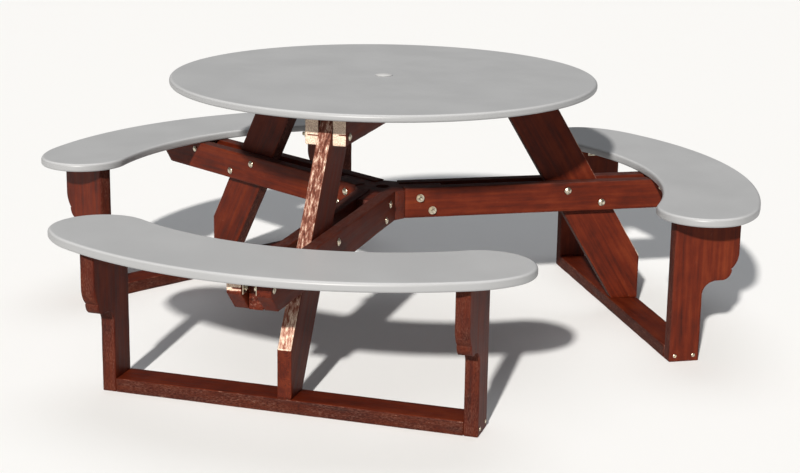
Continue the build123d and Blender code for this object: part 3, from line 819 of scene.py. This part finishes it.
def build_hub_block():
    """Three tongues that reach between the arms' planks, round the pole's bore."""
    low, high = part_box("hub_block")
    corners = []
    for bay in BAYS:
        for u, v in (
            (ARM_START, -3 * HALF), (ARM_START, -HALF), (HUB_TONGUE, -HALF),
            (HUB_TONGUE, HALF), (ARM_START, HALF), (ARM_START, 3 * HALF),
        ):
            corners.append(place(bay, u, v, 0)[:2])
    block = softened(prism(corners, low[2], high[2]), HUB_BEVEL, "hub")
    hole = prism(circle(POLE_HOLE, 64), low[2] - PAST, high[2] + PAST)
    mesh = cut_away(block, [hole], "hub_block_sawn")
    seed = SEEDS.random() * 9
    shift = Vector((seed, seed, seed))
    add_note(mesh, "grain", [part for vertex in mesh.vertices for part in vertex.co + shift])
    for key, value in (("bare", 0.0), ("sawn", 0.0), ("cut", 0.3), ("dusty", 0.6)):
        add_note(mesh, key, [value] * len(mesh.vertices))
    add_piece("hub_block_sawn", mesh, "hub_block", STAINED)


def bracket_mesh():
    """Steel angle with its corner at the origin: one leg hangs down, one runs towards +x."""
    outline = arc_rows((BRACKET_BEND, -BRACKET_BEND), BRACKET_BEND, 90, 180, 5)
    outline += [(0, -BRACKET_LEG), (STEEL, -BRACKET_LEG)]
    outline += [(STEEL, -STEEL - 0.001), (STEEL + 0.001, -STEEL), (BRACKET_FOOT, -STEEL)]
    outline += [(BRACKET_FOOT, 0)]
    angle = softened(prism(outline, -BRACKET_WIDTH / 2, BRACKET_WIDTH / 2), 0.0004, "angle")
    angle.transform(Matrix.Rotation(math.radians(90), 4, "X"))
    upright_hole = prism(circle(BRACKET_BOLT_HOLE, 24), -PAST, STEEL + PAST)
    upright_hole.transform(Matrix.Rotation(math.radians(90), 4, "Y"))
    upright_hole.transform(Matrix.Translation((0, 0, -BRACKET_BOLT)))
    screw_hole = circle(SCREW_HOLE_SHARE * BRACKET_BOLT_HOLE, 24, BRACKET_SCREW)
    level_hole = prism(screw_hole, -STEEL - PAST, PAST)
    return cut_away(angle, [upright_hole, level_hole], "bracket")


# ---------------------------------------- turned and threaded pieces
BOLT_HEAD_SIDE = {"front": 1, "right": -1, "left": 1}
HUB_HEAD_SIDE = {"front": 1, "right": 1, "left": 1}
BOLT = {"radius": 0.005, "head_radius": 0.011, "head_height": 0.0055, "threaded": 0.035}
SEAT_BOLT = {"radius": 0.004, "head_radius": 0.0095, "head_height": 0.0045, "threaded": 0.02}
WASHER = 0.002             # its thickness
WASHER_RADIUS = 0.012
WASHER_HOLE = 0.0053
NUT_HEIGHT = 0.008
NUT_FLATS = 0.017
SMALL_NUT_HEIGHT = 0.0065
SMALL_NUT_FLATS = 0.013
NUT_PITCH = 0.0015
BOLT_LENGTH = 3 * TIMBER + WASHER + NUT_HEIGHT + 0.007
SEAT_BOLT_LENGTH = TIMBER + STEEL + SMALL_NUT_HEIGHT + 0.0015
THREAD_DEPTH = 0.0006
SOFT = 0.0006              # rounding of a head's rim, and bevel under it
SCREW_HEAD = 0.0055        # radius
SCREW_HEAD_HEIGHT = 0.0026
SCREW_SHANK = 0.0026       # radius under the head, above the thread
SCREW_THREAD = 0.00275
SCREW_PITCH = 0.0018
CROSS_HALF = 0.0030        # half the length of the cross in a screw head
CROSS_DEPTH = 0.0012
SCREW_LENGTHS = {
    "seat": 0.017, "upright": 0.028, "skid": 0.088, "spacer": 0.058, "foot": 0.090, "table": 0.058
}


def lathe(name, rows, segments, closed=False):
    """Turn rows of (radius, height) about z; both may depend on the angle."""
    mesh = bmesh.new()
    rings = []
    for radius, height in rows:
        if radius == 0:
            rings.append([mesh.verts.new((0, 0, height))])
            continue
        ring = []
        for step in range(segments):
            angle = math.tau * step / segments
            r = radius(angle) if callable(radius) else radius
            h = height(angle) if callable(height) else height
            ring.append(mesh.verts.new((r * math.cos(angle), r * math.sin(angle), h)))
        rings.append(ring)
    pairs = list(zip(rings, rings[1:]))
    if closed:
        pairs.append((rings[-1], rings[0]))
    for first, second in pairs:
        for step in range(segments):
            after = (step + 1) % segments
            corners = [first[step % len(first)], first[after % len(first)]]
            corners += [second[after % len(second)], second[step % len(second)]]
            mesh.faces.new(list(dict.fromkeys(corners)))
    bmesh.ops.recalc_face_normals(mesh, faces=mesh.faces)
    return as_data(mesh, name, smooth=True)


def arc_rows(centre, radius, start, end, count):
    """Points of a round edge in (radius, height), angles in degrees."""
    rows = []
    for step in range(count + 1):
        angle = math.radians(start + (end - start) * step / count)
        rows.append((centre[0] + radius * math.cos(angle), centre[1] + radius * math.sin(angle)))
    return rows


def dome_rows(radius, rise, rim):
    """Cap of a sphere over a short upright rim, from the middle outwards."""
    ball = (radius**2 + (rise - rim) ** 2) / (2 * (rise - rim))
    half_angle = math.degrees(math.asin(radius / ball))
    rows = arc_rows((0, rise - ball), ball, 90, 90 - half_angle, 12)
    return [(0, rise)] + rows[1:-1] + arc_rows((radius - SOFT, rim - 0.0002), SOFT, 35, -60, 4)


def thread_rows(radius, low, high, pitch):
    """Rows of a screw thread, six to a turn, from high down to low."""
    rows = []
    count = round((high - low) / pitch * 6)
    for step in range(count + 1):
        height = high + (low - high) * step / count
        fade = min(1, step / 4, (count - step) / 4)

        def reach(angle, height=height, fade=fade):
            turn = (height / pitch - angle / math.tau) % 1
            return radius - THREAD_DEPTH * fade * (1 - abs(2 * turn - 1))

        rows.append((reach, height))
    return rows


def bolt_mesh(name, length, radius, head_radius, head_height, threaded):
    """Round-headed bolt: the head stands above z = 0, the shank runs down from it."""
    rows = dome_rows(head_radius, head_height, 2 * SOFT)
    rows += [(head_radius - SOFT, 0), (radius + 0.0004, 0), (radius, -SOFT)]
    rows += thread_rows(radius, 0.001 - length, threaded - length, radius * 0.3)
    rows += [(radius - 2 * SOFT, -length), (0, -length)]
    return lathe(name, rows, 32)


def cross_recess():
    """Cutters of the cross in a screw head."""
    half = CROSS_DEPTH / 2
    arm = [(-CROSS_HALF, -half), (CROSS_HALF, -half), (CROSS_HALF, half), (-CROSS_HALF, half)]
    turned = [(-y, x) for x, y in arm]
    low, high = SCREW_HEAD_HEIGHT - CROSS_DEPTH, SCREW_HEAD_HEIGHT + PAST
    return [prism(outline, low, high) for outline in (arm, turned)]


def screw_mesh(name, length):
    """Timber screw with its head's underside at z = 0 and its point below."""
    rows = dome_rows(SCREW_HEAD, SCREW_HEAD_HEIGHT, 0.0008)
    rows += [(SCREW_HEAD - SOFT, 0), (SCREW_SHANK, 0), (SCREW_SHANK - 0.0002, -0.002)]
    rows += thread_rows(SCREW_THREAD, 0.005 - length, -0.003, SCREW_PITCH)
    rows += [(0.0004, 0.0002 - length), (0, -length)]
    return cut_away(lathe(name, rows, 24), cross_recess(), name)


def hexagon(angle):
    """How far a hexagon reaches at an angle, if its flats are 1 from its middle."""
    turn = (math.degrees(angle) + 30) % 60 - 30
    return 1 / math.cos(math.radians(turn))


def nut_mesh(name, flats, bore, height):
    """Hexagon nut on z = 0: cone-turned corners and a bevelled, threaded bore."""
    half = flats / 2
    slope = math.tan(math.radians(25))

    def side(angle):
        return half * hexagon(angle)

    def lower_corner(angle):
        return half * (hexagon(angle) - 0.985) * slope

    def upper_corner(angle):
        return height - lower_corner(angle)

    rows = [(bore + SOFT, 0), (half * 0.97, 0), (side, lower_corner), (side, upper_corner)]
    rows += [(half * 0.97, height), (bore + SOFT, height)]
    rows += thread_rows(bore + 0.0004, 0.0005, height - 0.0005, NUT_PITCH)
    return lathe(name, rows, 72, closed=True)


def washer_mesh(name):
    """Pressed washer on z = 0, more rounded on its upper side."""
    burr = 0.0002
    rows = [(WASHER_HOLE, burr), (WASHER_HOLE + burr, 0), (WASHER_RADIUS - 0.0003, 0)]
    rows += [(WASHER_RADIUS, 0.0003), (WASHER_RADIUS, WASHER - 0.0005)]
    rows += [(WASHER_RADIUS - 0.0005, WASHER), (WASHER_HOLE + burr, WASHER)]
    rows += [(WASHER_HOLE, WASHER - burr)]
    return lathe(name, rows, 40, closed=True)


def facing_side(bay, u, v, z, side, turn=0.0):
    """Place of a fastener whose head looks towards side * v."""
    across = (sideways(bay) * side).cross(UP)
    return axes(place(bay, u, v, z), UP, across) @ Matrix.Rotation(turn, 4, "Z")


def facing_down(bay, u, v, z):
    """Place of a fastener whose head looks down."""
    return axes(place(bay, u, v, z), outward(bay), -sideways(bay))


def add_group(name, node, mesh, matrices):
    """One piece that holds a copy of a small mesh at each place."""
    joined = bmesh.new()
    for matrix in matrices:
        copy = mesh.copy()
        copy.transform(matrix)
        joined.from_mesh(copy)
        bpy.data.meshes.remove(copy)
    add_piece(name, as_data(joined, name), node, ZINC)


def add_screws(use, matrices):
    screw = screw_mesh(f"{use}_screw", SCREW_LENGTHS[use])
    add_group(f"{use}_screws_threaded", f"{use}_screws", screw, matrices)


def build_bolts():
    """Through bolts with their washers and nuts."""
    bolt = bolt_mesh("bolt", BOLT_LENGTH, **BOLT)
    grip = 1.5 * TIMBER
    washers = []
    nuts = []
    sets = {
        "leg_bolts": (LEG_BOLTS, BOLT_HEAD_SIDE),
        "hub_bolts": (HUB_BOLTS, HUB_HEAD_SIDE),
        "batten_bolts": (BATTEN_BOLTS, BOLT_HEAD_SIDE),
    }
    for node, (points, head_side) in sets.items():
        heads = []
        for bay in BAYS:
            side = head_side[bay]
            for u, z in points:
                turn = SEEDS.random() * math.tau
                heads.append(facing_side(bay, u, side * grip, z, side))
                washers.append(facing_side(bay, u, -side * grip, z, -side))
                nuts.append(facing_side(bay, u, -side * (grip + WASHER), z, -side, turn))
        add_group(f"{node}_turned", node, bolt, heads)
    add_group("washers_pressed", "bolt_washers", washer_mesh("washer"), washers)
    nut = nut_mesh("nut", NUT_FLATS, BOLT["radius"], NUT_HEIGHT)
    add_group("nuts_threaded", "bolt_nuts", nut, nuts)


def build_seat_fixings():
    """Bolts, nuts and screws of the steel angles under the seats."""
    heads = []
    nuts = []
    seat_screws = []
    wood_screws = []
    brackets = []
    middle = (SKID_INNER + UPRIGHT_OUTER) / 2
    for bay, _, side in BAY_SIDES:
        stations = [(u, z, side * HALF) for u, z in SEAT_BOLTS]
        stations.append((middle, SEAT_BOLTS[0][1], side * UPRIGHT_V[0]))
        for u, z, v in stations:
            inner = v - side * STEEL
            if u == middle:
                wood_screws.append(facing_side(bay, u, inner, z, -side, SEEDS.random()))
            else:
                heads.append(facing_side(bay, u, side * 3 * HALF, z, side))
                nuts.append(facing_side(bay, u, inner, z, -side, SEEDS.random()))
            spot = v - side * BRACKET_SCREW
            seat_screws.append(facing_down(bay, u, spot, SEAT_UNDERSIDE - STEEL))
            across = sideways(bay) * -side
            brackets.append(axes(place(bay, u, v, SEAT_UNDERSIDE), across, UP.cross(across)))
    bolt = bolt_mesh("seat_bolt", SEAT_BOLT_LENGTH, **SEAT_BOLT)
    add_group("seat_bolts_turned", "seat_bolts", bolt, heads)
    add_group("seat_angles_bent", "seat_brackets", bracket_mesh(), brackets)
    nut = nut_mesh("small_nut", SMALL_NUT_FLATS, SEAT_BOLT["radius"], SMALL_NUT_HEIGHT)
    add_group("seat_nuts_threaded", "seat_bolt_nuts", nut, nuts)
    add_screws("seat", seat_screws)
    add_screws("upright", wood_screws)


def build_timber_screws():
    """Screws that hold board to board, and the top to its battens."""
    skid = []
    table = []
    spacer = []
    foot = []
    for bay in BAYS:
        for side in SIDES.values():
            for u, z in SKID_SCREWS:
                skid.append(facing_side(bay, u, side * UPRIGHT_V[1], z, side, SEEDS.random()))
            for u in TABLE_SCREWS_U:
                head = (BATTEN_BOTTOM + TOP_UNDERSIDE) / 2
                table.append(facing_down(bay, u, side * TIMBER, head))
        for u, z in SPACER_SCREWS:
            spacer.append(facing_side(bay, u, -3 * HALF, z, -1, SEEDS.random()))
        for u in FOOT_SCREWS_U:
            foot.append(facing_down(bay, u, 0, FOOT_RECESS))
    add_screws("skid", skid)
    add_screws("spacer", spacer)
    add_screws("foot", foot)
    add_screws("table", table)


# ---------------------------------------- moulded pieces
EDGE_UPPER = 0.009         # rounding of the top's and the seats' upper edge
EDGE_LOWER = 0.007
SEAT_INNER_RADIUS = 0.812
SEAT_OUTER_RADIUS = 1.086
SEAT_OUTER_HALF_ANGLE = 28.9
SEAT_END_LARGE_RADIUS = 0.272
SEAT_END_SMALL_RADIUS = 0.131
PLUG_RADIUS = 0.025
PLUG_STEM = 0.0197
PLUG_WALL = 0.003
PLUG_STEM_LENGTH = 0.026
PLUG_RIM = 0.0015
PLUG_LEAD_IN = (0.001, 0.003)   # taper at the stem's foot: inward, upward
POLE_HOLE_BEVEL = 0.001
FLAT_MARGIN = 0.003        # even strip beside a rounded rim
RIM_STEP = 0.008           # between two points of a seat's outline


def rim_rows(low, high):
    """(inset, height) of a rounded rim, from the underside up to the upper face."""
    lower = arc_rows((EDGE_LOWER, low + EDGE_LOWER), EDGE_LOWER, 270, 180, 8)
    upper = arc_rows((EDGE_UPPER, high - EDGE_UPPER), EDGE_UPPER, 180, 90, 10)
    return [(EDGE_LOWER + FLAT_MARGIN, low)] + lower + upper + [(EDGE_UPPER + FLAT_MARGIN, high)]


def build_tabletop():
    """Turned from its section, with the pole's hole in the middle."""
    low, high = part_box("tabletop")
    radius = high[0]
    rows = [(POLE_HOLE, low[2]), (0.1, low[2]), (0.35, low[2])]
    rows += [(radius - inset, height) for inset, height in rim_rows(low[2], high[2])]
    rows += [(radius * share / 8, high[2]) for share in range(7, 0, -1)]
    bevel = POLE_HOLE_BEVEL
    rows += [(POLE_HOLE + 2 * bevel, high[2])]
    rows += arc_rows((POLE_HOLE + bevel, high[2] - bevel), bevel, 90, 180, 4)
    mesh = lathe("round_top_moulded", rows, 288, closed=True)
    add_piece("round_top_moulded", mesh, "tabletop", TOP_GREY)


def build_plug():
    """Domed cap on a hollow stem, which lies in the top's hole."""
    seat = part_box("tabletop")[1][2]
    cap = dome_rows(PLUG_RADIUS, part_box("umbrella_plug")[1][2] - seat, PLUG_RIM)
    rows = [(radius, height + seat) for radius, height in cap]
    foot = seat - PLUG_STEM_LENGTH
    inward, upward = PLUG_LEAD_IN
    rows += [(PLUG_RADIUS - 0.0008, seat), (PLUG_STEM, seat), (PLUG_STEM, foot + upward)]
    rows += [(PLUG_STEM - inward, foot), (PLUG_STEM - PLUG_WALL, foot)]
    rows += [(PLUG_STEM - PLUG_WALL, seat - PLUG_WALL), (0, seat - PLUG_WALL)]
    mesh = lathe("umbrella_plug_moulded", rows, 96)
    add_piece("umbrella_plug_moulded", mesh, "umbrella_plug", PLUG_GREY, "plug")


def arc_rim(centre, radius, start, end, inward=False):
    """Points of an arc with the way that the seat's edge faces there; angles in degrees."""
    count = max(2, round(abs(math.radians(end - start)) * radius / RIM_STEP))
    rim = []
    for step in range(count):
        facing = direction(start + (end - start) * step / count, 0)
        rim.append((centre + facing * radius, -facing if inward else facing))
    return rim


def seat_rim():
    """Outline of a seat in its bay, x outward: two arcs about the axis, two for each end.

    The end's large arc touches the outer arc, the small one touches the large and the inner arc.
    """
    large, small = SEAT_END_LARGE_RADIUS, SEAT_END_SMALL_RADIUS
    large_reach = SEAT_OUTER_RADIUS - large
    small_reach = SEAT_INNER_RADIUS + small
    gap = large - small
    cosine = (large_reach**2 + small_reach**2 - gap**2) / (2 * large_reach * small_reach)
    large_angle = SEAT_OUTER_HALF_ANGLE
    small_angle = large_angle + math.degrees(math.acos(cosine))
    large_centre = direction(large_angle, 0) * large_reach
    small_centre = direction(small_angle, 0) * small_reach
    meet = math.degrees(math.asin((small_centre.y - large_centre.y) / gap))
    axis = Vector((0, 0, 0))
    half = arc_rim(axis, SEAT_OUTER_RADIUS, 0, large_angle)
    half += arc_rim(large_centre, large, large_angle, meet)
    half += arc_rim(small_centre, small, meet, 180 + small_angle)
    half += arc_rim(axis, SEAT_INNER_RADIUS, small_angle, 0, inward=True)
    half.append((Vector((SEAT_INNER_RADIUS, 0, 0)), Vector((-1, 0, 0))))
    mirror = Vector((1, -1, 1))
    return half + [(spot * mirror, facing * mirror) for spot, facing in half[-2:0:-1]]


def build_seats():
    """Rings of points around the rounded rim, with a flat face above and below."""
    low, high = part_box("seat_front")
    rim = seat_rim()
    for bay, angle in BAYS.items():
        mesh = bmesh.new()
        rings = []
        for inset, height in rim_rows(low[2], high[2]):
            spots = [spot - facing * inset + UP * height for spot, facing in rim]
            rings.append([mesh.verts.new(spot) for spot in spots])
        mesh.faces.new(rings[0][::-1])
        mesh.faces.new(rings[-1])
        for first, second in zip(rings, rings[1:]):
            for i in range(len(rim)):
                after = (i + 1) % len(rim)
                mesh.faces.new((first[i], first[after], second[after], second[i]))
        bmesh.ops.recalc_face_normals(mesh, faces=mesh.faces)
        bmesh.ops.triangulate(mesh, faces=[face for face in mesh.faces if len(face.verts) > 4])
        data = as_data(mesh, f"bench_seat_{bay}")
        data.transform(Matrix.Rotation(math.radians(angle), 4, "Z"))
        data.shade_smooth()
        add_piece(f"bench_seat_{bay}", data, f"seat_{bay}", SEAT_GREY)


# ---------------------------------------- the whole picture
SEEDS = random.Random(11)
build_camera()
build_light()
build_floor()
STAINED = timber("stained_timber")
TOP_GREY = moulded("top_plastic", GREY, 0.42)
SEAT_GREY = moulded("seat_plastic", GREY, 0.42)
PLUG_GREY = moulded("plug_plastic", PALE_GREY, 0.36)
ZINC = zinc("zinc_plate")
build_arms()
build_battens()
build_skids()
build_legs()
build_uprights()
build_hub_block()
build_bolts()
build_seat_fixings()
build_timber_screws()
build_tabletop()
build_plug()
build_seats()
bpy.context.scene.view_settings.view_transform = "Standard"
